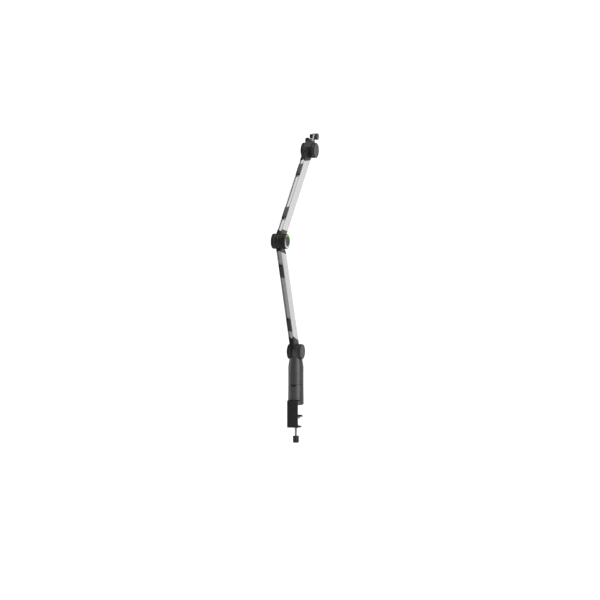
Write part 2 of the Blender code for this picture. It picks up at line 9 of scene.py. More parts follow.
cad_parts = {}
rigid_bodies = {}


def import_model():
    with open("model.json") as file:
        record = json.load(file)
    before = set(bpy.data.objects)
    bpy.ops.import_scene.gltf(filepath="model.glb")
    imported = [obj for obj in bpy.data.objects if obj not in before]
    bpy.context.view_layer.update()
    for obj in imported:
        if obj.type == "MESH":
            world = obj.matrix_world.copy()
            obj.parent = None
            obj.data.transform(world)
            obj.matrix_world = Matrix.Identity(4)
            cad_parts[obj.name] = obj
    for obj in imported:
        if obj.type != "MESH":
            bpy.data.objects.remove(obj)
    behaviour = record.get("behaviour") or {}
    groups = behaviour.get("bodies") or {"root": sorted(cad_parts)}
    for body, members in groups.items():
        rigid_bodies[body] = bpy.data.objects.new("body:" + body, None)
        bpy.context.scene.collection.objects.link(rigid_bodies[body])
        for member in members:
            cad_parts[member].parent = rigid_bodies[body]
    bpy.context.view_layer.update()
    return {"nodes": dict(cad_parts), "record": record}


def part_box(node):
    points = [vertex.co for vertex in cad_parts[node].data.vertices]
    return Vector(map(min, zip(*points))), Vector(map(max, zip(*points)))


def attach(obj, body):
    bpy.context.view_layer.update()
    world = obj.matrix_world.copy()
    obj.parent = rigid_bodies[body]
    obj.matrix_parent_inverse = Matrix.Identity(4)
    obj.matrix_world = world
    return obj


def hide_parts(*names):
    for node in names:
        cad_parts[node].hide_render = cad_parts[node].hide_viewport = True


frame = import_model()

# ---- Where things are, from the frame ----
JOINTS = {j["name"]: j for j in frame["record"]["behaviour"]["joints"]}
SHOULDER = Vector(JOINTS["shoulder_tilt"]["pos_m"])
ELBOW = Vector(JOINTS["elbow_tilt"]["pos_m"])
HEAD = Vector(JOINTS["head_tilt"]["pos_m"])
NECK_AXIS = Vector(JOINTS["neck_swivel"]["axis"])
ARM_LENGTH = (ELBOW - SHOULDER).length


def leaning(origin, direction):
    """Frame whose +Z runs along a direction in the swing plane and whose +X is the hub axis."""
    lean = math.atan2(-direction.y, direction.z)
    return Matrix.Translation(origin) @ Matrix.Rotation(lean, 4, "X")


WORLD = Matrix.Identity(4)
LOWER = leaning(SHOULDER, ELBOW - SHOULDER)
UPPER = leaning(ELBOW, HEAD - ELBOW)
HEAD_FRAME = leaning(HEAD, NECK_AXIS)
SHOULDER_HUB = Matrix.Translation(SHOULDER)
ELBOW_HUB = Matrix.Translation(ELBOW)
HEAD_HUB = Matrix.Translation(HEAD)

# ---- Sizes shared with the solids ----
GAP = 0.0003
HUB_R = 0.025
SADDLE_R = HUB_R + 0.0006
CAP_FACE = -0.0144
TONGUE = (-0.0130, -0.0033)
BARREL = (-0.0019, 0.0130)
COVER = (0.0140, 0.0240)
WASHER_INNER = (-0.0030, -0.0022)
BOLT_BORE_R = 0.0043
POCKET_R, POCKET_FLOOR = 0.016, 0.005
HALF_WIDTH, HALF_DEPTH, WALL = 0.00875, 0.021, 0.002
CHANNEL_HALF, CHANNEL_DEPTH, CHANNEL_CORNER = 0.006, 0.0055, 0.0012
LOWER_X, UPPER_X = -0.002, -0.0042
COLUMN_R, FOOT_R, SEAM_Z = 0.025, 0.0257, 0.0675
NECK_X, NECK_R = 0.0030, 0.0062
SOCKET_R, SOCKET_FLOOR = 0.0040, 0.0440
LOCK_Z, THUMB_Z = 0.0545, 0.0388
CROSS_BORE_R = 0.0023       # the lock and thumb screws' holes
THREAD_R, THREAD_CORE, THREAD_PITCH = 0.0039, 0.0035, 0.00125
FINE = 96                   # sides of a large turned piece

# Each end cap's length from its hub at the channel side and at the back, and where its back's taper ends
LOWER_BOTTOM, LOWER_TOP = (0.066, 0.030, 0), (0.029, 0.057, 0.055)
UPPER_BOTTOM, UPPER_TOP = (0.034, 0.062, 0.060), (0.066, 0.025, 0)
PROFILE_INSET = 0.015       # from a hub's axis to the uncut profile
CAP_BLANK = 0.090           # length an end cap is cut from
CLIP_HALF = 0.024
LOWER_CLIPS, UPPER_CLIPS = (0.106, 0.301), (0.107, 0.297)   # middles of the clips along each arm

work = bpy.data.collections.new("work")
bpy.context.scene.collection.children.link(work)


# ---- Materials ----
ALONG = (1, 1, 60)          # grain drawn out along a piece's own Z
GRAIN_DEPTH = 0.0002
PAINTED_EDGE_HIGHLIGHT = ((0.22, 0.22, 0.22), 0.5)                  # colour and amount of the painted highlight on convex edges
RING_GLOW = 0.55
# Painted shade: the base colour the cable channel's walls are darkened to
CHANNEL_PAINTED_SHADE = (0.12, 0.12, 0.12)
CHANNEL_SHADE_MASK_X = 0.0066     # half width of the stretch of the profile that gets painted shade
CHANNEL_SHADE_MASK_Y = (-0.0183, 0.0025)                  # its middle and half depth


def nodes_of(name):
    """A new material with its node tree and its shader."""
    made = bpy.data.materials.new(name)
    made.use_nodes = True
    tree = made.node_tree
    return made, tree, tree.nodes["Principled BSDF"]


def noise(tree, scale, detail=3.0, stretch=(1, 1, 1), turn=(0, 0, 0)):
    """Noise in the piece's own coordinates, stretched along one of them for a grain."""
    place = tree.nodes.new("ShaderNodeTexCoord")
    mapping = tree.nodes.new("ShaderNodeMapping")
    mapping.vector_type = "TEXTURE"
    mapping.inputs["Rotation"].default_value = turn
    mapping.inputs["Scale"].default_value = stretch
    texture = tree.nodes.new("ShaderNodeTexNoise")
    texture.inputs["Scale"].default_value = scale
    texture.inputs["Detail"].default_value = detail
    tree.links.new(place.outputs["Object"], mapping.inputs["Vector"])
    tree.links.new(mapping.outputs["Vector"], texture.inputs["Vector"])
    return texture.outputs["Fac"]


def ramp(tree, value, low, high, start=0.35, end=0.65):
    """Maps a noise value to a range of numbers or colours."""
    made = tree.nodes.new("ShaderNodeValToRGB")
    made.color_ramp.elements[0].position = start
    made.color_ramp.elements[1].position = end
    grey = isinstance(low, float)
    made.color_ramp.elements[0].color = (low, low, low, 1) if grey else (*low, 1)
    made.color_ramp.elements[1].color = (high, high, high, 1) if grey else (*high, 1)
    tree.links.new(value, made.inputs["Fac"])
    return made.outputs["Color"]


def painted_edge_highlight(tree, base, edge_colour, amount):
    """Lightens the convex edges a little: a painted highlight along them."""
    geometry = tree.nodes.new("ShaderNodeNewGeometry")
    edge = ramp(tree, geometry.outputs["Pointiness"], 0.0, amount, 0.52, 0.60)
    mix = tree.nodes.new("ShaderNodeMix")
    mix.data_type = "RGBA"
    tree.links.new(edge, mix.inputs["Factor"])
    tree.links.new(base, mix.inputs["A"])
    mix.inputs["B"].default_value = (*edge_colour, 1)
    return mix.outputs["Result"]


def surface(name, low, high, rough, metallic=0.0, grain=900.0, bump=0.05, stretch=(1, 1, 1),
            turn=(0, 0, 0), edge=None, patch=60.0, specular=0.5, anisotropic=0.0):
    """Painted, moulded or metal surface: two drifting tones, with a fine grain in bump and gloss."""
    made, tree, shader = nodes_of(name)
    drift = noise(tree, patch, 4.0, stretch, turn)
    colour = ramp(tree, drift, low, high)
    # edge: a painted highlight lightens the convex edges
    if edge:
        colour = painted_edge_highlight(tree, colour, *edge)
    tree.links.new(colour, shader.inputs["Base Color"])
    fine = noise(tree, grain, 2.0, stretch, turn)
    gloss = ramp(tree, fine, rough[0], rough[1])
    tree.links.new(gloss, shader.inputs["Roughness"])
    relief = tree.nodes.new("ShaderNodeBump")
    relief.inputs["Strength"].default_value = bump
    relief.inputs["Distance"].default_value = GRAIN_DEPTH
    tree.links.new(fine, relief.inputs["Height"])
    tree.links.new(relief.outputs["Normal"], shader.inputs["Normal"])
    shader.inputs["Metallic"].default_value = metallic
    shader.inputs["Specular IOR Level"].default_value = specular
    shader.inputs["Anisotropic"].default_value = anisotropic
    return made


def light_material(name):
    """Frosted ring whose colour runs from yellow-green at the top through teal to pale blue and pink."""
    made, tree, shader = nodes_of(name)
    place = tree.nodes.new("ShaderNodeTexCoord")
    offset = tree.nodes.new("ShaderNodeVectorMath")
    offset.operation = "SUBTRACT"
    offset.inputs[1].default_value = ELBOW
    split = tree.nodes.new("ShaderNodeSeparateXYZ")
    angle = tree.nodes.new("ShaderNodeMath")
    angle.operation = "ARCTAN2"
    turn = tree.nodes.new("ShaderNodeMapRange")
    turn.inputs["From Min"].default_value = -math.pi
    turn.inputs["From Max"].default_value = math.pi
    colours = tree.nodes.new("ShaderNodeValToRGB")
    stops = colours.color_ramp
    hues = [
        (0.00, (0.60, 0.62, 0.72)), (0.10, (0.62, 0.52, 0.52)), (0.22, (0.30, 0.33, 0.34)),
        (0.36, (0.06, 0.10, 0.07)), (0.47, (0.22, 0.42, 0.05)), (0.56, (0.16, 0.50, 0.04)),
        (0.68, (0.05, 0.24, 0.11)), (0.80, (0.06, 0.26, 0.24)), (0.92, (0.22, 0.44, 0.56)),
        (1.00, (0.50, 0.60, 0.72)),
    ]
    stops.elements[0].position, stops.elements[0].color = hues[0][0], (*hues[0][1], 1)
    stops.elements[1].position, stops.elements[1].color = hues[-1][0], (*hues[-1][1], 1)
    for position, hue in hues[1:-1]:
        stops.elements.new(position).color = (*hue, 1)
    tree.links.new(place.outputs["Object"], offset.inputs[0])
    tree.links.new(offset.outputs["Vector"], split.inputs["Vector"])
    tree.links.new(split.outputs["Y"], angle.inputs[0])
    tree.links.new(split.outputs["Z"], angle.inputs[1])
    tree.links.new(angle.outputs["Value"], turn.inputs["Value"])
    tree.links.new(turn.outputs["Result"], colours.inputs["Fac"])
    tree.links.new(colours.outputs["Color"], shader.inputs["Base Color"])
    tree.links.new(colours.outputs["Color"], shader.inputs["Emission Color"])
    shader.inputs["Emission Strength"].default_value = RING_GLOW
    shader.inputs["Specular IOR Level"].default_value = 0.2
    gloss = ramp(tree, noise(tree, 700.0), 0.28, 0.38)
    tree.links.new(gloss, shader.inputs["Roughness"])
    return made


def silver_with_painted_channel_shade(name, low, high, frame_of_arm, x_mid):
    """Anodised aluminium, grained along the arm, with painted shade on the cable channel's walls: a darker
    base colour there.
    """
    turn = (frame_of_arm.to_euler().x, 0, 0)
    made = surface(name, low, high, (0.24, 0.36), 1.0, grain=2400.0, bump=0.06, stretch=ALONG,
                   turn=turn, anisotropic=0.3)
    tree = made.node_tree
    shader = tree.nodes["Principled BSDF"]
    place = tree.nodes.new("ShaderNodeTexCoord")
    local = tree.nodes.new("ShaderNodeMapping")
    local.vector_type = "TEXTURE"
    local.inputs["Location"].default_value = frame_of_arm.translation
    local.inputs["Rotation"].default_value = turn
    split = tree.nodes.new("ShaderNodeSeparateXYZ")
    tree.links.new(place.outputs["Object"], local.inputs["Vector"])
    tree.links.new(local.outputs["Vector"], split.inputs["Vector"])
    # Mask of the channel's walls, where painted shade darkens the base colour
    near = []
    for axis, middle, reach in (("X", x_mid, CHANNEL_SHADE_MASK_X), ("Y", *CHANNEL_SHADE_MASK_Y)):
        test = tree.nodes.new("ShaderNodeMath")
        test.operation = "COMPARE"
        test.inputs[1].default_value = middle
        test.inputs[2].default_value = reach
        tree.links.new(split.outputs[axis], test.inputs[0])
        near.append(test.outputs["Value"])
    wall = tree.nodes.new("ShaderNodeMath")
    wall.operation = "MULTIPLY"
    tree.links.new(near[0], wall.inputs[0])
    tree.links.new(near[1], wall.inputs[1])
    mix = tree.nodes.new("ShaderNodeMix")
    mix.data_type = "RGBA"
    colour = shader.inputs["Base Color"].links[0].from_socket
    tree.links.new(wall.outputs["Value"], mix.inputs["Factor"])
    tree.links.new(colour, mix.inputs["A"])
    mix.inputs["B"].default_value = (*CHANNEL_PAINTED_SHADE, 1)
    tree.links.new(mix.outputs["Result"], shader.inputs["Base Color"])
    return made


# edge=(colour, amount) below paints a highlight on the convex edges
grey_metal = surface("grey_metal", (0.15, 0.15, 0.155), (0.18, 0.18, 0.186), (0.42, 0.52), 0.8,
                     grain=2600.0, bump=0.12, edge=PAINTED_EDGE_HIGHLIGHT)
black_metal = surface("black_powder_coat", (0.024, 0.024, 0.024), (0.032, 0.032, 0.032), (0.45, 0.60), 0.0,
                      grain=1800.0, bump=0.35, edge=((0.07, 0.07, 0.07), 0.5))
hub_plastic = surface("hub_plastic", (0.015, 0.015, 0.015), (0.021, 0.021, 0.021), (0.38, 0.52), 0.0,
                      grain=2200.0, bump=0.22, edge=((0.08, 0.08, 0.08), 0.6))
cover_metal = surface("cover_face", (0.060, 0.060, 0.060), (0.074, 0.074, 0.074), (0.34, 0.44), 0.35,
                      grain=2400.0, bump=0.12, edge=PAINTED_EDGE_HIGHLIGHT)
clip_plastic = surface("clip_plastic", (0.026, 0.026, 0.026), (0.034, 0.034, 0.034), (0.20, 0.30), 0.0,
                       grain=1500.0, bump=0.12, specular=0.95)
rubber = surface("rubber", (0.010, 0.010, 0.010), (0.018, 0.018, 0.018), (0.75, 0.92), 0.0,
                 grain=1300.0, bump=0.4)
# The lower arm's silver is a shade darker than the upper arm's: painted shade, because the lower arm faces
# down.
lower_silver_shaded = silver_with_painted_channel_shade("lower_arm_silver_painted_shade", (0.72, 0.72, 0.73), (0.80, 0.80, 0.81), LOWER, LOWER_X)
upper_silver = silver_with_painted_channel_shade("upper_arm_silver_channel_shade", (0.76, 0.76, 0.77), (0.84, 0.84, 0.85), UPPER, UPPER_X)
neck_silver = surface("neck_silver", (0.50, 0.50, 0.51), (0.60, 0.60, 0.61), (0.25, 0.36), 1.0,
                      grain=2400.0, bump=0.08)
zinc = surface("zinc", (0.66, 0.71, 0.76), (0.78, 0.82, 0.86), (0.34, 0.48), 1.0, grain=1200.0, bump=0.08,
               patch=220.0)
brass = surface("washer_brass", (0.40, 0.34, 0.20), (0.52, 0.45, 0.28), (0.40, 0.55), 0.6,
                grain=1600.0, bump=0.2, patch=300.0)
board_green = surface("board_green", (0.010, 0.06, 0.025), (0.014, 0.09, 0.035), (0.35, 0.5), grain=1600.0)
knob_plastic = surface("knob_plastic", (0.036, 0.036, 0.037), (0.048, 0.048, 0.049), (0.42, 0.56), 0.0,
                       grain=1900.0, bump=0.3, edge=((0.10, 0.10, 0.10), 0.5))
centre_gloss = surface("centre_cap", (0.016, 0.023, 0.020), (0.024, 0.032, 0.029), (0.22, 0.32), 0.0,
                       grain=1200.0, bump=0.03, specular=0.15)
head_grey = surface("head_grey", (0.060, 0.060, 0.060), (0.074, 0.074, 0.074), (0.40, 0.52), 0.0,
                    grain=2200.0, bump=0.2, edge=((0.10, 0.10, 0.10), 0.5))
light = light_material("light_ring")


# ---- Shape makers, each in a piece's own frame ----
def put(obj):
    """Keeps a blank where scraps() will find it."""
    work.objects.link(obj)
    return obj


def turned(profile, steps=FINE, along="Z", at=(0, 0, 0)):
    """Solid of revolution; the (radius, height) points run down the outer side."""
    mesh = bpy.data.meshes.new("turned")
    count = len(profile)
    edges = [(i, i + 1) for i in range(count - 1)] + ([(count - 1, 0)] if profile[0][0] > 0 else [])
    mesh.from_pydata([(r, 0, z) for r, z in profile], edges, [])
    obj = put(bpy.data.objects.new("turned", mesh))
    screw = obj.modifiers.new("turn", "SCREW")
    screw.steps = screw.render_steps = steps
    screw.use_merge_vertices = True
    screw.merge_threshold = 0.00001
    if along == "X":
        obj.rotation_euler = (0, math.pi / 2, 0)
    obj.location = at
    return obj


def rod(radius, low, high, steps=FINE, along="Z", at=(0, 0, 0)):
    """Plain cylinder."""
    return turned([(0, high), (radius, high), (radius, low), (0, low)], steps, along, at)


def arc(cx, cy, radius, start, end, steps):
    """Points along an arc, its angles in degrees."""
    angles = [math.radians(start + (end - start) * i / steps) for i in range(steps + 1)]
    return [(cx + radius * math.cos(a), cy + radius * math.sin(a)) for a in angles]


def softened(profile, radius=0.0004, steps=3):
    """The same profile with each corner away from the axis rounded."""
    points = [Vector(p) for p in profile]
    closed = profile[0][0] > 0
    result = []
    for i, corner in enumerate(points):
        ends = i in (0, len(points) - 1)
        if corner.x < 1e-6 or (ends and not closed):
            result.append(tuple(corner))
            continue
        before, after = points[i - 1], points[(i + 1) % len(points)]
        inward, onward = before - corner, after - corner
        turn = inward.angle(onward)
        if turn > math.radians(165):
            result.append(tuple(corner))
            continue
        reach = min(radius, inward.length * 0.45, onward.length * 0.45)
        a, b = corner + inward.normalized() * reach, corner + onward.normalized() * reach
        for k in range(steps + 1):
            t = k / steps
            result.append(tuple(a * (1 - t) ** 2 + corner * 2 * t * (1 - t) + b * t ** 2))
    return result


PLANES = {
    "XY": Matrix.Identity(4),
    "XZ": Matrix(((1, 0, 0, 0), (0, 0, -1, 0), (0, 1, 0, 0), (0, 0, 0, 1))),
    "YZ": Matrix(((0, 0, 1, 0), (1, 0, 0, 0), (0, 1, 0, 0), (0, 0, 0, 1))),
}


def slab(outlines, low, high, plane="XY"):
    """Flat outline, with holes if there are several, given a thickness along its plane's normal."""
    curve = bpy.data.curves.new("slab", "CURVE")
    curve.dimensions = "2D"
    curve.fill_mode = "BOTH"
    for outline in outlines:
        spline = curve.splines.new("POLY")
        spline.points.add(len(outline) - 1)
        for point, (u, v) in zip(spline.points, outline):
            point.co = (u, v, 0, 1)
        spline.use_cyclic_u = True
    curve.extrude = (high - low) / 2
    drawn = put(bpy.data.objects.new("slab", curve))
    bpy.context.view_layer.update()
    mesh = bpy.data.meshes.new_from_object(drawn.evaluated_get(bpy.context.evaluated_depsgraph_get()))
    bpy.data.objects.remove(drawn, do_unlink=True)
    shape = bmesh.new()
    shape.from_mesh(mesh)
    bmesh.ops.remove_doubles(shape, verts=shape.verts, dist=0.000001)
    bmesh.ops.dissolve_limit(shape, angle_limit=0.001, verts=shape.verts, edges=shape.edges)
    middle = (low + high) / 2 if plane != "XZ" else -(low + high) / 2
    bmesh.ops.transform(shape, matrix=PLANES[plane] @ Matrix.Translation((0, 0, middle)), verts=shape.verts)
    bmesh.ops.recalc_face_normals(shape, faces=shape.faces)
    shape.to_mesh(mesh)
    shape.free()
    return put(bpy.data.objects.new("slab", mesh))


def rounded(x, y, radius, steps=5):
    """Rectangle between two x and two y values, with round corners."""
    corners = [(x[1], y[1], 0), (x[0], y[1], 90), (x[0], y[0], 180), (x[1], y[0], 270)]
    points = []
    for cx, cy, start in corners:
        mid_x = cx - math.copysign(radius, cx - sum(x) / 2)
        mid_y = cy - math.copysign(radius, cy - sum(y) / 2)
        points += arc(mid_x, mid_y, radius, start, start + 90, steps)
    return points


def boolean(obj, others, operation):
    """Adds one exact boolean step for each of the other shapes."""
    for other in others:
        step = obj.modifiers.new(operation.lower(), "BOOLEAN")
        step.operation = operation
        step.solver = "EXACT"
        step.object = other
    return obj


def cut(obj, *others):
    return boolean(obj, others, "DIFFERENCE")


def join(obj, *others):
    return boolean(obj, others, "UNION")


def trim(obj, *others):
    return boolean(obj, others, "INTERSECT")


def piece(name, obj, place, body, finish, nodes, bevel=0.0, smooth=35):
    """Bakes a shape into a finished piece in the object's frame, on its body, in place of its CAD nodes."""
    if bevel:
        edge = obj.modifiers.new("edges", "BEVEL")
        edge.width = bevel
        edge.segments = 3
        edge.limit_method = "ANGLE"
        edge.angle_limit = math.radians(40)
    bpy.context.view_layer.update()
    mesh = bpy.data.meshes.new_from_object(obj.evaluated_get(bpy.context.evaluated_depsgraph_get()))
    mesh.transform(place @ obj.matrix_world)
    shape = bmesh.new()
    shape.from_mesh(mesh)
    bmesh.ops.remove_doubles(shape, verts=shape.verts, dist=0.0000005)
    bmesh.ops.dissolve_degenerate(shape, edges=shape.edges, dist=0.0000005)
    shape.to_mesh(mesh)
    shape.free()
    mesh.materials.clear()
    mesh.materials.append(finish)
    mesh.shade_smooth()
    mesh.set_sharp_from_angle(angle=math.radians(smooth))
    made = bpy.data.objects.new(name, mesh)
    bpy.context.scene.collection.objects.link(made)
    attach(made, body)
    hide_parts(*nodes)
    return made


def scraps():
    """Removes what the finished pieces were cut from."""
    for obj in list(work.objects):
        bpy.data.objects.remove(obj, do_unlink=True)
    bpy.data.collections.remove(work)


# ---- Column, foot and inlet ----
def inlet_outline(spare):
    """The D shape of the power inlet, or with some spare room, of its notch in the column."""
    half, low, radius = 0.0077 + spare, 0.0613 - spare, 0.004
    top = SEAM_Z + 0.002 if spare else SEAM_Z - 2 * GAP
    bottom = arc(-half + radius, low + radius, radius, 180, 270, 8)
    return bottom + arc(half - radius, low + radius, radius, 270, 360, 8) + [(half, top), (-half, top)]


BRACKET_HALF, BRACKET_FRONT, BRACKET_TOP, BRACKET_LOW = 0.0185, -0.0345, 0.016, -0.0735
PLATE = 0.004
SCREW_X = (-0.009, 0.009)


def column():
    """Fixed foot with its pad and inlet, and the swivelling column with the shoulder's barrel."""
    top = SEAM_Z - GAP
    profile = [
        (0, 0.020), (0.0215, 0.020), (0.0215, top), (COLUMN_R - 0.0005, top), (COLUMN_R, top - 0.0005),
        (FOOT_R, 0.0036), (FOOT_R - 0.0003, 0.0022), (FOOT_R - 0.0010, 0.0012), (FOOT_R - 0.0020, 0.0006),
        (FOOT_R - 0.0030, 0.0003), (0.0223, 0.0003), (0.0223, 0.0020), (0, 0.0020),
    ]
    body = turned(profile)
    slot = slab([rounded((-0.0193, 0.0193), (0.0116, 0.0175), 0.0015)], -0.030, 0.020, "XZ")
    trim(slot, slab([arc(0, 0, 0.0193, 0, 180, 48) + [(-0.0193, -0.031), (0.0193, -0.031)]], 0.005, 0.025))
    notch = slab([inlet_outline(GAP)], -0.030, -0.020, "XZ")
    cut(body, slot, notch)
    screw_hole = [(0, 0.013), (0.003, 0.013), (0.003, 0.0055), (0.005, 0.0055), (0.005, 0.001), (0, 0.001)]
    cut(body, *[turned(screw_hole, 32, at=(x, 0, 0)) for x in SCREW_X])
    piece("foot", body, WORLD, "base", grey_metal, ["base_column"])

    low = SEAM_Z + GAP
    upper = [(0, 0.1700), (0.0160, 0.1700), (0.0195, 0.1560), (0.0211, 0.1490), (0.0225, 0.1420)]
    upper += [(0.0237, 0.1350), (0.0245, 0.1302), (COLUMN_R, 0.1260), (COLUMN_R, low + 0.0005)]
    upper += [(COLUMN_R - 0.0005, low), (0.0153, low), (0.0153, 0.1260), (0, 0.1260)]
    body = turned(upper)
    at = tuple(SHOULDER)
    cut(body, rod(SADDLE_R, -0.040, WASHER_INNER[1] + 0.0001, FINE, "X", at))
    cut(body, rod(SADDLE_R, BARREL[1] + 0.0002, 0.040, FINE, "X", at))
    join(body, barrel(at))
    cut(body, pocket(at))
    piece("swivel_column", body, WORLD, "swivel", grey_metal, ["upper_column"])

    pad = [(0, 0.0017), (0.022, 0.0017), (0.022, 0.0004), (0.0216, 0)]
    for groove in (0.0185, 0.0145, 0.0105):
        pad += [(groove + 0.0006, 0), (groove + 0.0003, 0.0005)]
        pad += [(groove - 0.0003, 0.0005), (groove - 0.0006, 0)]
    piece("foot_pad", turned(pad + [(0, 0)], 64), WORLD, "base", rubber, ["desk_pad"])

    inlet = slab([inlet_outline(0)], -0.0246, -0.0180, "XZ")
    port = slab([rounded((-0.0045, 0.0045), (0.0626, 0.0658), 0.0014)], -0.030, -0.0205, "XZ")
    contact_strip = slab([rounded((-0.0030, 0.0030), (0.0638, 0.0646), 0.0003)], -0.0232, -0.0200, "XZ")
    join(cut(inlet, port), contact_strip)
    piece("inlet", inlet, WORLD, "base", hub_plastic, ["power_inlet"], 0.0002)


# ---- Clamp ----
def bracket():
    """Bent clamp plate with its two socket screws and the threaded bush."""
    y0, z1, z0, bend, inside, end = BRACKET_FRONT, BRACKET_TOP, BRACKET_LOW, 0.0042, 0.0008, 0.024
    outer = [(end, z1)] + arc(y0 + bend, z1 - bend, bend, 90, 180, 10)
    outer += arc(y0 + bend, z0 + bend, bend, 180, 270, 10) + [(end, z0)]
    y2 = y0 + PLATE + inside
    inner = [(end, z0 + PLATE)] + arc(y2, z0 + PLATE + inside, inside, 270, 180, 4)
    inner += arc(y2, z1 - PLATE - inside, inside, 180, 90, 4) + [(end, z1 - PLATE)]
    body = slab([outer + inner], -0.025, 0.025, "YZ")
    w = BRACKET_HALF
    trim(body, slab([arc(0, 0, w, 0, 180, 48) + [(-w, y0 - 0.01), (w, y0 - 0.01)]], z0 - 0.01, z1 + 0.01))
    cut(body, rod(0.0063, z0 - 0.01, z0 + 0.02, 48))
    cut(body, *[rod(0.0029, z1 - 0.01, z1 + 0.01, 32, at=(x, 0, 0)) for x in SCREW_X])
    piece("clamp_frame", body, WORLD, "base", black_metal, ["clamp_bracket"], 0.0005)
    for side, x in zip(("left", "right"), SCREW_X):
        screw = [(0, 0.0152), (0.0026, 0.0152), (0.0026, 0.0052)]
        screw += [(0.0047, 0.0052), (0.0047, 0.0023), (0, 0.0023)]
        made = cut(turned(softened(screw), 40, at=(x, 0, 0)), rod(0.0017, 0, 0.0045, 6, at=(x, 0, 0)))
        piece("foot_screw_" + side, made, WORLD, "base", zinc, ["bracket_screw_" + side])
    bush = [
        (0.0090, z0 + 0.0080), (0.0090, z0 + PLATE + GAP), (0.0060, z0 + PLATE + GAP), (0.0060, z0 + 0.0002),
        (0.0042, z0 + 0.0002), (0.0042, z0 + 0.0080),
    ]
    piece("screw_bush", turned(softened(bush), 64), WORLD, "base", zinc, ["threaded_bush"])


def threaded_rod(radius, core, pitch, low, high, sides=24, rows_per_turn=8):
    """Screw thread as one closed skin whose radius follows the helix."""
    rows = int((high - low) / pitch * rows_per_turn)
    shape = bmesh.new()
    rings = []
    for row in range(rows + 1):
        z = low + (high - low) * row / rows
        ring = []
        for side in range(sides):
            phase = (z / pitch - side / sides) % 1.0
            reach = core + (radius - core) * min(1.0, 1.35 * (1 - abs(2 * phase - 1)))
            fade = min(1.0, (high - z) / pitch, (z - low) / pitch)
            reach = core + (reach - core) * fade
            angle = 2 * math.pi * side / sides
            ring.append(shape.verts.new((reach * math.cos(angle), reach * math.sin(angle), z)))
        rings.append(ring)
    for lower, upper in zip(rings, rings[1:]):
        for side in range(sides):
            after = (side + 1) % sides
            shape.faces.new((lower[side], lower[after], upper[after], upper[side]))
    shape.faces.new(rings[-1])
    shape.faces.new(list(reversed(rings[0])))
    mesh = bpy.data.meshes.new("thread")
    shape.to_mesh(mesh)
    shape.free()
    return put(bpy.data.objects.new("thread", mesh))


def clamp():
    """Pressure foot and the screw with its knob, placed by the solids' own heights."""
    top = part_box("pressure_pad")[1][2]
    knob_low, knob_top = (corner[2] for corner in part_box("clamp_knob"))
    plate = [
        (0, top - 0.0018), (0.0225, top - 0.0018), (0.0230, top - 0.0024), (0.0230, top - 0.0042),
        (0.0225, top - 0.0048), (0.0080, top - 0.0048), (0.0080, top - 0.0075), (0.0053, top - 0.0075),
        (0.0053, top - 0.0035), (0, top - 0.0035),
    ]
    piece("clamp_plate", turned(softened(plate)), WORLD, "pressure_foot", black_metal,
          ["pressure_plate"])
    pad = [(0, top)]
    for groove in (0.0060, 0.0100, 0.0140, 0.0180):
        pad += [(groove - 0.0006, top), (groove - 0.0003, top - 0.0005), (groove + 0.0003, top - 0.0005)]
        pad += [(groove + 0.0006, top)]
    pad += [(0.0207, top), (0.0210, top - 0.0003), (0.0210, top - 0.0015), (0, top - 0.0015)]
    piece("clamp_pad", turned(pad, 64), WORLD, "pressure_foot", rubber, ["pressure_pad"])
    ring_top, ring_low = top - 0.0078, top - 0.0106
    retainer = [(0.0150, ring_top), (0.0150, ring_low), (0.0043, ring_low), (0.0043, ring_top)]
    piece("clamp_plate_ring", turned(softened(retainer)), WORLD, "pressure_foot", zinc,
          ["plate_retainer"])
    screw = threaded_rod(THREAD_R, THREAD_CORE, THREAD_PITCH, knob_top - 0.0175, ring_top)
    nose = [(0, top - 0.0040), (0.0040, top - 0.0040), (0.0050, top - 0.0050), (0.0050, top - 0.0070)]
    nose += [(0.0036, top - 0.0073), (0.0034, top - 0.0090), (0, top - 0.0090)]
    join(screw, turned(nose, 24))
    piece("clamp_thread", screw, WORLD, "screw", zinc, ["clamp_screw"], smooth=50)
    lobes, radius, wave, steps = 6, 0.0096, 0.0007, 96
    outline = []
    for i in range(steps):
        turn = 2 * math.pi * i / steps
        reach = radius + wave * math.cos(lobes * turn)
        outline.append((reach * math.cos(turn), reach * math.sin(turn)))
    knob = slab([outline], knob_low - 0.002, knob_top + 0.002)
    flat_r, bend = 0.0067, 0.0040
    dome = [(0, knob_top - 0.0002)] + arc(flat_r, knob_top - bend, bend, 80, 0, 6)
    dome += arc(flat_r, knob_low + bend, bend, 0, -80, 6) + [(0, knob_low + 0.0002)]
    trim(knob, turned(dome, 90))
    cut(knob, rod(0.0042, knob_top - 0.0185, knob_top + 0.01, 40))
    piece("clamp_handle", knob, WORLD, "screw", knob_plastic, ["clamp_knob"], smooth=40)


# ---- Hubs ----
def barrel(at):
    """The disc of a hub that carries the next arm's tongue."""
    return turned(softened([(0, BARREL[1]), (HUB_R, BARREL[1]), (HUB_R, BARREL[0]), (0, BARREL[0])], 0.0005),
                  FINE, "X", at)


def pocket(at):
    """Room in a barrel for the lock nut, and the bolt's bore."""
    profile = [(0, 0.030), (POCKET_R, 0.030), (POCKET_R, POCKET_FLOOR), (BOLT_BORE_R, POCKET_FLOOR)]
    return turned(profile + [(BOLT_BORE_R, -0.030), (0, -0.030)], 48, "X", at)


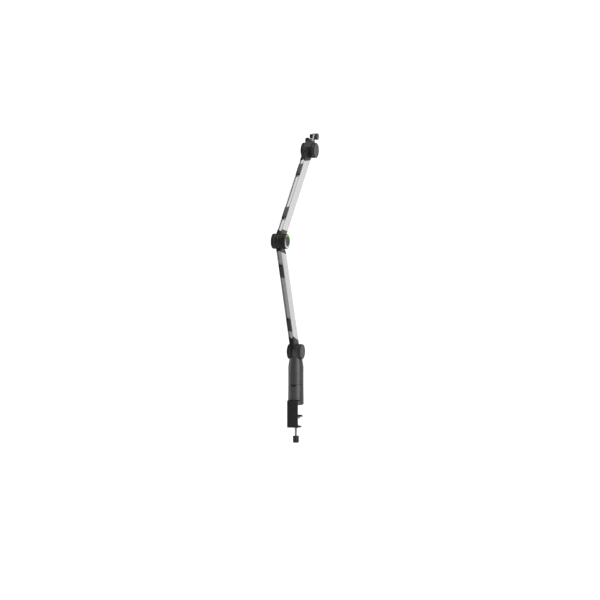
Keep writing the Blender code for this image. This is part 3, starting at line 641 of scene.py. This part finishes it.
def hub(name, place, body, tongue_body, cover=True):
    """Tension cap, friction washers and bolt of a hub, with a lid on its right end if it has one."""
    cap_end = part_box(name + "_tension_cap")[0][0]
    r, edge = HUB_R, 0.0024
    cap = [(r - 0.0004, CAP_FACE), (r, CAP_FACE - 0.0004)]
    cap += [(r, -0.0178), (r - 0.0004, -0.0181), (r - 0.0004, -0.0187), (r, -0.0190)]
    cap += arc(r - edge, cap_end + edge, edge, 0, -90, 8)[1:]
    cap += [(0.0150, cap_end), (0.0146, cap_end + 0.0006), (0.0086, cap_end + 0.0006), (0.0082, cap_end)]
    cap += [(0.0078, cap_end + 0.0002), (0.0078, -0.0190), (BOLT_BORE_R, -0.0190), (BOLT_BORE_R, CAP_FACE)]
    piece(name + "_cap", turned(cap, FINE, "X"), place, body, hub_plastic,
          [name + "_tension_cap"])
    for side in ("outer", "inner"):
        low, high = (c[0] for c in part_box(f"{name}_{side}_washer"))
        washer = [(0.0243, high), (0.0243, low), (BOLT_BORE_R, low), (BOLT_BORE_R, high)]
        made = turned(softened(washer, 0.0002), FINE, "X")
        piece(f"{name}_{side}_brass", made, place, tongue_body, brass, [f"{name}_{side}_washer"])
    bolt = [
        (0, 0.0123), (0.0040, 0.0123), (0.0040, -0.0193), (0.0065, -0.0193), (0.0065, cap_end + 0.0008),
        (0, cap_end + 0.0008),
    ]
    made = cut(turned(softened(bolt), 48, "X"), rod(0.0035, -0.030, cap_end + 0.0048, 6, "X"))
    piece(name + "_hex_bolt", made, place, body, zinc, [name + "_bolt"])
    if cover:
        low, high = COVER
        lid = [(0, high - 0.0006), (0.0200, high - 0.0006), (0.0206, high)]
        lid += arc(r - edge, high - edge, edge, 90, 0, 8)
        lid += [(r, low + 0.0004), (r - 0.0004, low), (0.0157, low), (0.0157, low - 0.0040)]
        lid += [(0.0137, low - 0.0040), (0.0137, high - 0.003), (0, high - 0.003)]
        piece(name + "_lid", turned(lid, FINE, "X"), place, body, cover_metal,
              [name + "_end_cover"])


def elbow_light():
    """The elbow's light in place of a lid: housing, frosted ring and plain centre cap."""
    r, low, high = HUB_R, COVER[0], 0.0236
    housing = [
        (r, high), (r, low), (0.0157, low), (0.0157, low - 0.0040), (0.0137, low - 0.0040),
        (0.0137, high - 0.0040), (0.0235, high - 0.0040), (0.0235, high),
    ]
    piece("ring_housing", turned(softened(housing), FINE, "X"), ELBOW_HUB, "lower_arm", hub_plastic,
          ["light_housing"])
    ring_low, ring_high = high - 0.0037, 0.0255
    ring = [(0.0232, ring_low), (0.0168, ring_low), (0.0168, ring_high - 0.0006), (0.0174, ring_high)]
    ring = arc(0.0214, ring_high - 0.0018, 0.0018, 90, 0, 8) + ring
    piece("glowing_ring", turned(ring, FINE, "X"), ELBOW_HUB, "lower_arm", light,
          ["light_ring"])
    face = ring_high - 0.0004
    touch = [(0, face - 0.0008), (0.0040, face - 0.0007), (0.0090, face - 0.0004), (0.0152, face)]
    touch += [(0.0165, face - 0.0006), (0.0165, ring_low), (0, ring_low)]
    piece("ring_centre", turned(softened(touch), FINE, "X"), ELBOW_HUB, "lower_arm", centre_gloss,
          ["light_centre_cap"])


# ---- Arms ----
def section(x_mid):
    """The arm's outline with its round back edges and the open cable channel in front."""
    w, d, c = HALF_WIDTH, HALF_DEPTH, CHANNEL_HALF
    floor, corner, lip, back = -HALF_DEPTH + CHANNEL_DEPTH, CHANNEL_CORNER, 0.0004, 0.002
    points = arc(w - back, d - back, back, 0, 90, 8) + arc(-w + back, d - back, back, 90, 180, 8)
    points += arc(-w + lip, -d + lip, lip, 180, 270, 3) + arc(-c - lip, -d + lip, lip, 270, 360, 3)
    points += arc(-c + corner, floor - corner, corner, 180, 90, 5)
    points += arc(c - corner, floor - corner, corner, 90, 0, 5)
    points += arc(c + lip, -d + lip, lip, 180, 270, 3) + arc(w - lip, -d + lip, lip, 270, 360, 3)
    return [(x + x_mid, y) for x, y in points]


def cavity(x_mid, spare=0.0):
    """The hollow inside the arm, less some spare room for the plugs that fill it."""
    w = HALF_WIDTH - WALL - spare
    low, high = -HALF_DEPTH + CHANNEL_DEPTH + WALL + spare, HALF_DEPTH - WALL - spare
    return [(x_mid - w, low), (x_mid + w, low), (x_mid + w, high), (x_mid - w, high)]


def end_region(x_mid, hub_z, side, front, back, spare=0.0):
    """The space an end cap fills: a diagonal edge from front to back, dipping in a V across the arm."""
    w, dip, reach = HALF_WIDTH, 0.006, 0.030
    middle = (front + back) / 2 - spare
    outline = [(x_mid - 0.02, -0.04), (x_mid + 0.02, -0.04), (x_mid + 0.02, middle), (x_mid + w, middle)]
    outline += [(x_mid, middle - dip), (x_mid - w, middle), (x_mid - 0.02, middle)]
    region = slab([outline], -reach, reach, "XZ")
    slope = (back - front) / (2 * HALF_DEPTH)
    region.data.transform(Matrix(((1, 0, 0, 0), (0, 1, 0, 0), (0, slope, 1, 0), (0, 0, 0, 1))))
    region.data.transform(Matrix.Diagonal((1, 1, side, 1)))
    if side < 0:
        region.data.flip_normals()
    region.data.transform(Matrix.Translation((0, 0, hub_z)))
    return region


def end_cap(name, place, body_name, x_mid, hub_z, side, front, back, taper, with_barrel):
    """Black end of an arm with its plug, and with the hub's barrel or with the tongue."""
    d, inner_y, inner_z, start = HALF_DEPTH, 0.0090, 0.0240, -0.010
    body = slab([section(x_mid)], *sorted((hub_z, hub_z + side * CAP_BLANK)))
    trim(body, end_region(x_mid, hub_z, side, front, back, GAP))
    plug_low, plug_high = (0.030 if front > back else 0.028), max(front, back) + 0.012
    plug = sorted((hub_z + side * plug_low, hub_z + side * plug_high))
    join(body, slab([cavity(x_mid, GAP)], *plug))
    if taper:
        wedge = [(d + 0.010, start), (d + 0.010, taper), (d + 0.0001, taper)]
        wedge += [(inner_y, inner_z), (inner_y, start)]
        cut(body, slab([[(y, hub_z + side * z) for y, z in wedge]], -0.030, 0.030, "YZ"))
    at = (0, 0, hub_z)
    if with_barrel:
        cut(body, rod(SADDLE_R, -0.040, WASHER_INNER[1] + 0.0001, FINE, "X", at))
        join(body, barrel(at))
        cut(body, pocket(at))
    else:
        cut(body, rod(SADDLE_R, WASHER_INNER[0] - 0.0001, 0.040, FINE, "X", at))
        tongue = [(0, TONGUE[1]), (HUB_R, TONGUE[1]), (HUB_R, TONGUE[0]), (0, TONGUE[0])]
        join(body, turned(softened(tongue), FINE, "X", at))
        cut(body, rod(BOLT_BORE_R, -0.030, 0.030, 40, "X", at))
    piece(name.replace("_cap", "_end"), body, place, body_name, hub_plastic, [name])


def clip(name, place, body_name, x_mid, along):
    """Cable clip that presses into the channel, with one open side and V-shaped ends."""
    face = -HALF_DEPTH
    top, floor = face - 0.005, face + CHANNEL_DEPTH - GAP
    foot, wide, wall, corner = CHANNEL_HALF - GAP, 0.007, 0.0016, CHANNEL_CORNER
    outline = [(foot - corner, floor), (foot, floor - corner), (foot, face - GAP), (wide, face - GAP)]
    outline += [(wide, top + 0.0012)] + arc(wide - 0.0012, top + 0.0012, 0.0012, 0, -90, 5)[1:]
    outline += [(-0.0020, top), (-0.0025, top + 0.0005), (-0.0025, top + wall), (foot - wall, top + wall)]
    outline += [(foot - wall, floor - wall), (-foot + wall, floor - wall), (-foot + wall, face - 0.0022)]
    outline += [(-wide, face - 0.0022), (-wide, face - GAP), (-foot, face - GAP), (-foot, floor - corner)]
    outline += [(-foot + corner, floor)]
    half = CLIP_HALF
    body = slab([[(x + x_mid, y) for x, y in outline]], along - half, along + half)
    w, dip = wide + 0.001, 0.005
    ends = [(-w, -half), (0, -half + dip), (w, -half), (w, half), (0, half - dip), (-w, half)]
    trim(body, slab([[(x + x_mid, z + along) for x, z in ends]], -0.040, 0.010, "XZ"))
    piece(name.replace("_clip", "_cable_clip"), body, place, body_name, clip_plastic, [name],
          0.00025)


def arm(name, place, x_mid, bottom, top, clips, silver):
    """Silver profile with its two end caps and two clips."""
    profile = slab([section(x_mid), cavity(x_mid)], PROFILE_INSET, ARM_LENGTH - PROFILE_INSET)
    cut(profile, end_region(x_mid, 0, 1, *bottom[:2]))
    cut(profile, end_region(x_mid, ARM_LENGTH, -1, *top[:2]))
    piece(name + "_tube", profile, place, name, silver, [name + "_profile"])
    end_cap(name + "_bottom_cap", place, name, x_mid, 0, 1, *bottom, with_barrel=False)
    end_cap(name + "_top_cap", place, name, x_mid, ARM_LENGTH, -1, *top, with_barrel=True)
    for side, along in zip(("lower", "upper"), clips):
        clip(f"{name}_{side}_clip", place, name, x_mid, along)


# ---- Head ----
def fluted(radius, depth, flutes, low, high, at, round_edge=0.0012):
    """Knob body with flutes cut round its rim, along X."""
    steps = flutes * 8
    outline = []
    for i in range(steps):
        turn = 2 * math.pi * i / steps
        reach = radius - depth * (0.5 - 0.5 * math.cos(flutes * turn)) ** 2
        outline.append((reach * math.cos(turn), reach * math.sin(turn)))
    body = slab([outline], low, high, "YZ")
    body.location = at
    e = round_edge
    dome = [(0, high - 0.0001)] + arc(radius - e, high - e, e, 85, 0, 5)
    dome += arc(radius - e, low + e, e, 0, -85, 5) + [(0, low + 0.0001)]
    return trim(body, turned(dome, 90, "X", at))


def head_parts():
    """Head block, its neck with socket and ring, the lock knob with its end, and the thumb screw."""
    outline = [
        (-0.0265, -0.0040), (-0.0265, 0.0110), (-0.0150, 0.0290), (0.0130, 0.0290), (0.0210, 0.0130),
        (0.0100, -0.0050), (-0.0120, -0.0120),
    ]
    body = slab([outline], TONGUE[0], 0.0120, "YZ")
    neck_at = (NECK_X, 0, 0)
    join(body, rod(0.0085, 0.020, 0.0320, 64, at=neck_at))
    cut(body, rod(SADDLE_R, WASHER_INNER[0] - 0.0001, 0.040, FINE, "X"))
    join(body, rod(HUB_R, *TONGUE, FINE, "X"))
    join(body, slab([rounded((-0.0060, 0.0060), (0.0200, 0.0430), 0.003)], -0.0095, -0.0042, "YZ"))
    cut(body, rod(NECK_R + GAP, 0.0265, 0.060, 48, at=neck_at))
    cut(body, rod(0.0088, 0.0321, 0.0356, 64, at=neck_at))
    cut(body, rod(CROSS_BORE_R, -0.020, 0.0, 32, "X", (0, 0, THUMB_Z)))
    cut(body, rod(BOLT_BORE_R, -0.030, 0.030, 40, "X"))
    piece("head_body", body, HEAD_FRAME, "head", head_grey, ["head_block"])

    top, low = 0.0640, 0.0268
    neck = [(0, SOCKET_FLOOR), (SOCKET_R, SOCKET_FLOOR), (SOCKET_R, top - 0.0004)]
    neck += [(SOCKET_R + 0.0004, top), (NECK_R - 0.0005, top)]
    neck += [(NECK_R, top - 0.0005), (NECK_R, top - 0.0030), (NECK_R - 0.0004, top - 0.0034)]
    neck += [(NECK_R - 0.0004, top - 0.0042), (NECK_R, top - 0.0046), (NECK_R, low), (0, low)]
    made = cut(turned(neck, 64, at=neck_at), rod(CROSS_BORE_R, -0.020, 0.020, 32, "X", (0, 0, LOCK_Z)))
    piece("neck_socket", made, HEAD_FRAME, "neck", neck_silver, ["neck"])
    collar = [(0.0085, 0.0352), (0.0085, 0.0323), (NECK_R + GAP, 0.0323), (NECK_R + GAP, 0.0352)]
    piece("neck_ring", turned(softened(collar, 0.0006), 64, at=neck_at), HEAD_FRAME, "neck", zinc,
          ["neck_collar"])

    at = (0, 0, LOCK_Z)
    knob = fluted(radius=0.0110, depth=0.0008, flutes=16, low=0.0100, high=0.0172, at=at)
    stem = [(0, 0.0110), (0.0040, 0.0110), (0.0040, 0.0095), (0.0020, 0.0095), (0.0020, -0.0030)]
    stem += [(0, -0.0030)]
    join(knob, turned(stem, 40, "X", at))
    cut(knob, turned([(0, 0.020), (0.0076, 0.020), (0.0070, 0.0166), (0, 0.0166)], 64, "X", at))
    piece("lock_wheel", knob, HEAD_FRAME, "lock_knob", cover_metal, ["lock_knob"],
          smooth=40)
    cap = [(0, -0.0035), (0.0075, -0.0035), (0.0080, -0.0044), (0.0080, -0.0085), (0.0066, -0.0100)]
    cap = softened(cap + [(0, -0.0100)])
    piece("lock_button", turned(cap, 64, "X", (0, 0, LOCK_Z + 0.001)), HEAD_FRAME, "neck", hub_plastic,
          ["lock_end_cap"])
    at = (0, 0, THUMB_Z)
    thumb = fluted(radius=0.0093, depth=0.0007, flutes=14, low=-0.0214, high=-0.0108, at=at,
                   round_edge=0.0018)
    join(thumb, rod(0.0020, -0.0120, -0.0042, 32, "X", at), rod(0.0050, -0.0112, -0.0103, 40, "X", at))
    piece("thumb_wheel", thumb, HEAD_FRAME, "thumb_screw", hub_plastic, ["thumb_screw"],
          smooth=40)


# ---- CAD pieces that stay: only their surfaces change ----
def dress_kept_nodes():
    """Gives the inner pieces, which keep their CAD shapes, the materials above."""
    kept = {
        "swivel_post": zinc, "post_retaining_ring": zinc, "lower_swivel_bush": hub_plastic,
        "upper_swivel_bush": hub_plastic, "light_board": board_green, "shoulder_lock_nut": zinc,
        "elbow_lock_nut": zinc, "head_lock_nut": zinc,
    }
    for name, finish in kept.items():
        node = frame["nodes"][name]
        node.data.materials.clear()
        node.data.materials.append(finish)


# ---- Studio ----
AZIMUTH = math.radians(19.8)
ELEVATION = math.radians(4.0)
DISTANCE = 30.0
LENS, SENSOR = 549.0, 36.0
AIM_Z, AIM_RIGHT, AIM_DOWN = 0.346, 0.0135, 0.0015
FLOOR_Z = -0.74             # a room's floor below a desk top at z = 0
FLOOR_SIZE = 60.0
ROOM_LIGHT = 0.20           # what the room adds to the lamps
WHITE = (1.0, 1.0, 1.0, 1)
LAMP_DISTANCE, LAMP_TARGET = 2.6, Vector((0, 0, 0.4))
SOFTBOXES = [               # name, azimuth and elevation in degrees, size, power
    ("right_key", 58, 8, (1.3, 2.2), 22),
    ("back_right", 152, 8, (2.2, 2.4), 12.5),
    ("back_left", -92, 8, (1.2, 2.2), 12),
    ("top", 0, 82, (2.0, 2.0), 12),
]


def softbox(name, azimuth, elevation, size, power):
    """Square area light that faces the middle of the object, azimuth measured like the camera's."""
    a, e = math.radians(azimuth), math.radians(elevation)
    direction = Vector((math.sin(a) * math.cos(e), -math.cos(a) * math.cos(e), math.sin(e)))
    lamp = bpy.data.lights.new(name, "AREA")
    lamp.shape = "RECTANGLE"
    lamp.size, lamp.size_y = size
    lamp.energy = power
    obj = bpy.data.objects.new(name, lamp)
    obj.location = LAMP_TARGET + direction * LAMP_DISTANCE
    obj.rotation_euler = direction.to_track_quat("Z", "Y").to_euler()
    bpy.context.scene.collection.objects.link(obj)


def studio():
    """Camera, floor, room and lamps. Only the camera sees the floor and the room as plain white."""
    right = Vector((math.cos(AZIMUTH), math.sin(AZIMUTH), 0))
    back = Vector((math.sin(AZIMUTH) * math.cos(ELEVATION), -math.cos(AZIMUTH) * math.cos(ELEVATION),
                   math.sin(ELEVATION)))
    up = back.cross(right)
    aim = Vector((0, 0, AIM_Z)) + right * AIM_RIGHT - up * AIM_DOWN
    data = bpy.data.cameras.new("camera")
    data.lens, data.sensor_width = LENS, SENSOR
    data.clip_end = 100.0
    camera = bpy.data.objects.new("camera", data)
    bpy.context.scene.collection.objects.link(camera)
    camera.location = aim + back * DISTANCE
    camera.rotation_euler = back.to_track_quat("Z", "Y").to_euler()
    bpy.context.scene.camera = camera

    mesh = bpy.data.meshes.new("floor")
    shape = bmesh.new()
    bmesh.ops.create_grid(shape, x_segments=8, y_segments=8, size=FLOOR_SIZE)
    shape.to_mesh(mesh)
    shape.free()
    floor = bpy.data.objects.new("floor", mesh)
    floor.location.z = FLOOR_Z
    pale, tree, shader = nodes_of("pale_floor")
    tint = ramp(tree, noise(tree, 3.0), (0.80, 0.80, 0.80), (0.84, 0.84, 0.84))
    tree.links.new(tint, shader.inputs["Base Color"])
    shader.inputs["Roughness"].default_value = 0.9
    shader.inputs["Specular IOR Level"].default_value = 0.1
    shader.inputs["Emission Color"].default_value = WHITE
    seen = tree.nodes.new("ShaderNodeLightPath")
    tree.links.new(seen.outputs["Is Camera Ray"], shader.inputs["Emission Strength"])
    mesh.materials.append(pale)
    bpy.context.scene.collection.objects.link(floor)

    world = bpy.data.worlds.new("studio")
    world.use_nodes = True
    tree = world.node_tree
    room = tree.nodes["Background"]
    room.inputs["Color"].default_value = WHITE
    room.inputs["Strength"].default_value = ROOM_LIGHT
    backdrop = tree.nodes.new("ShaderNodeBackground")
    backdrop.inputs["Color"].default_value = WHITE
    seen = tree.nodes.new("ShaderNodeLightPath")
    mix = tree.nodes.new("ShaderNodeMixShader")
    tree.links.new(seen.outputs["Is Camera Ray"], mix.inputs["Fac"])
    tree.links.new(room.outputs["Background"], mix.inputs[1])
    tree.links.new(backdrop.outputs["Background"], mix.inputs[2])
    tree.links.new(mix.outputs["Shader"], tree.nodes["World Output"].inputs["Surface"])
    bpy.context.scene.world = world

    for lamp in SOFTBOXES:
        softbox(*lamp)
    bpy.context.scene.view_settings.view_transform = "Standard"


studio()
column()
bracket()
clamp()
hub("shoulder", SHOULDER_HUB, "swivel", "lower_arm")
hub("elbow", ELBOW_HUB, "lower_arm", "upper_arm", cover=False)
hub("head", HEAD_HUB, "upper_arm", "head")
elbow_light()
arm("lower_arm", LOWER, LOWER_X, LOWER_BOTTOM, LOWER_TOP, LOWER_CLIPS, lower_silver_shaded)
arm("upper_arm", UPPER, UPPER_X, UPPER_BOTTOM, UPPER_TOP, UPPER_CLIPS, upper_silver)
head_parts()
dress_kept_nodes()
scraps()
